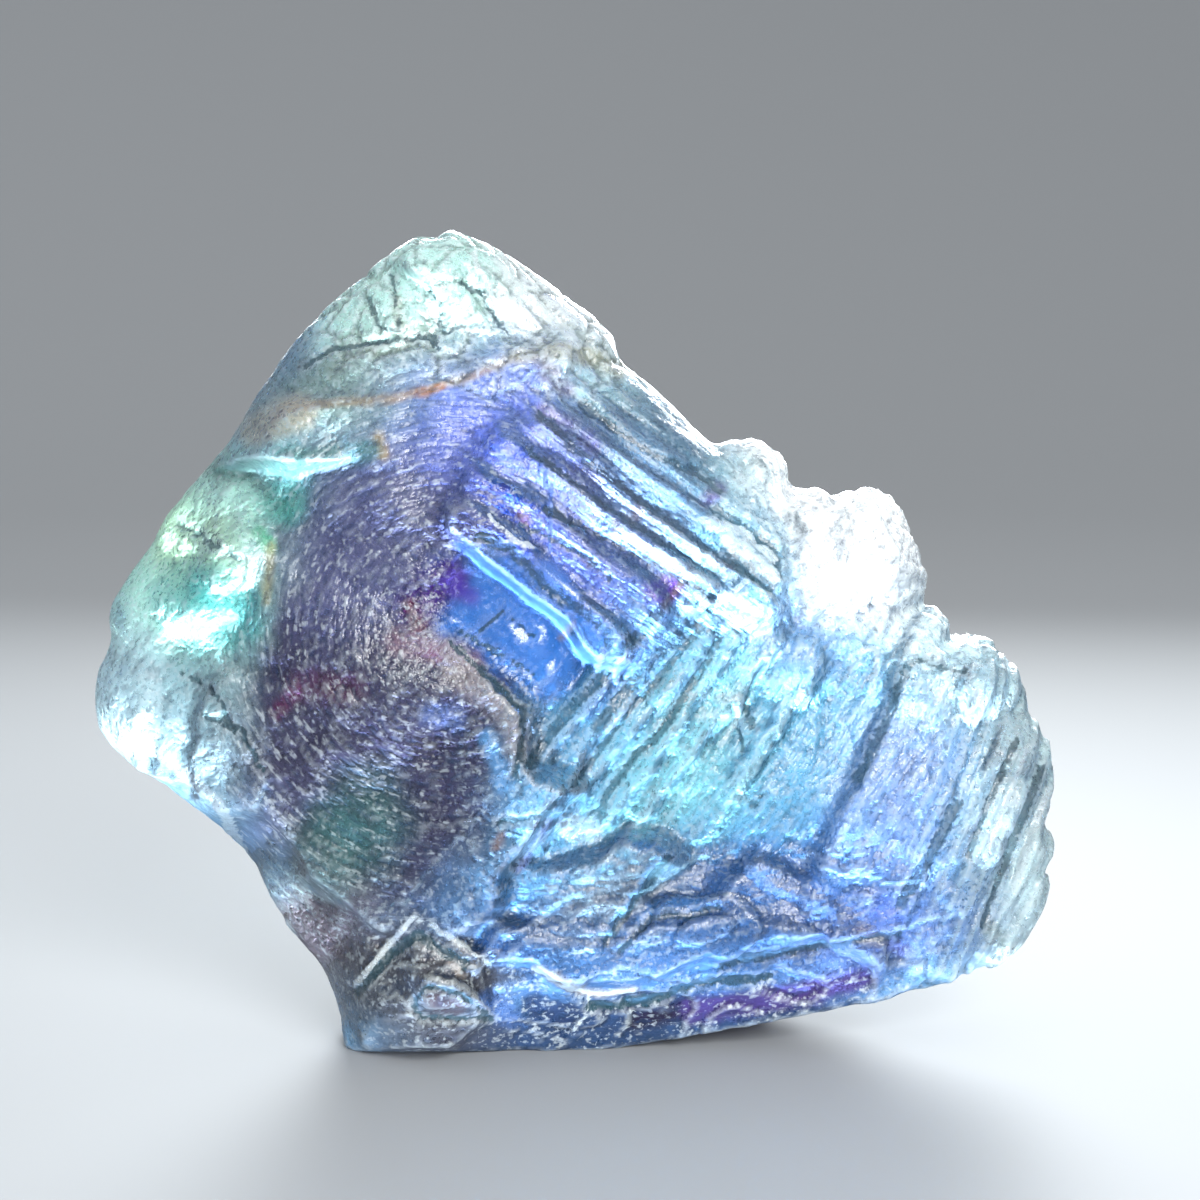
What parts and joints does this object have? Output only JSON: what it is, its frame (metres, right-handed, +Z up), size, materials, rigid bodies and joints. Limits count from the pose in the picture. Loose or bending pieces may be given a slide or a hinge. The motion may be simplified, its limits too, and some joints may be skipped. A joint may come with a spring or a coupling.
{
  "type": "fluorite specimen",
  "caption": "See-through blue, violet and aqua fluorite chunk with stepped cleavage ledges and an etched surface, standing on its flat broken foot.",
  "frame": {"origin": "under the middle of the specimen, on the surface that it stands on", "axes": "+X to the right along its width, +Y from the face that shows best to the back, +Z up"},
  "size_m": [0.08, 0.0302, 0.0675],
  "materials": {
    "fluorite": "satin"
  },
  "bodies": {
    "root": {"fluorite": "fluorite"}
  },
  "joints": []
}
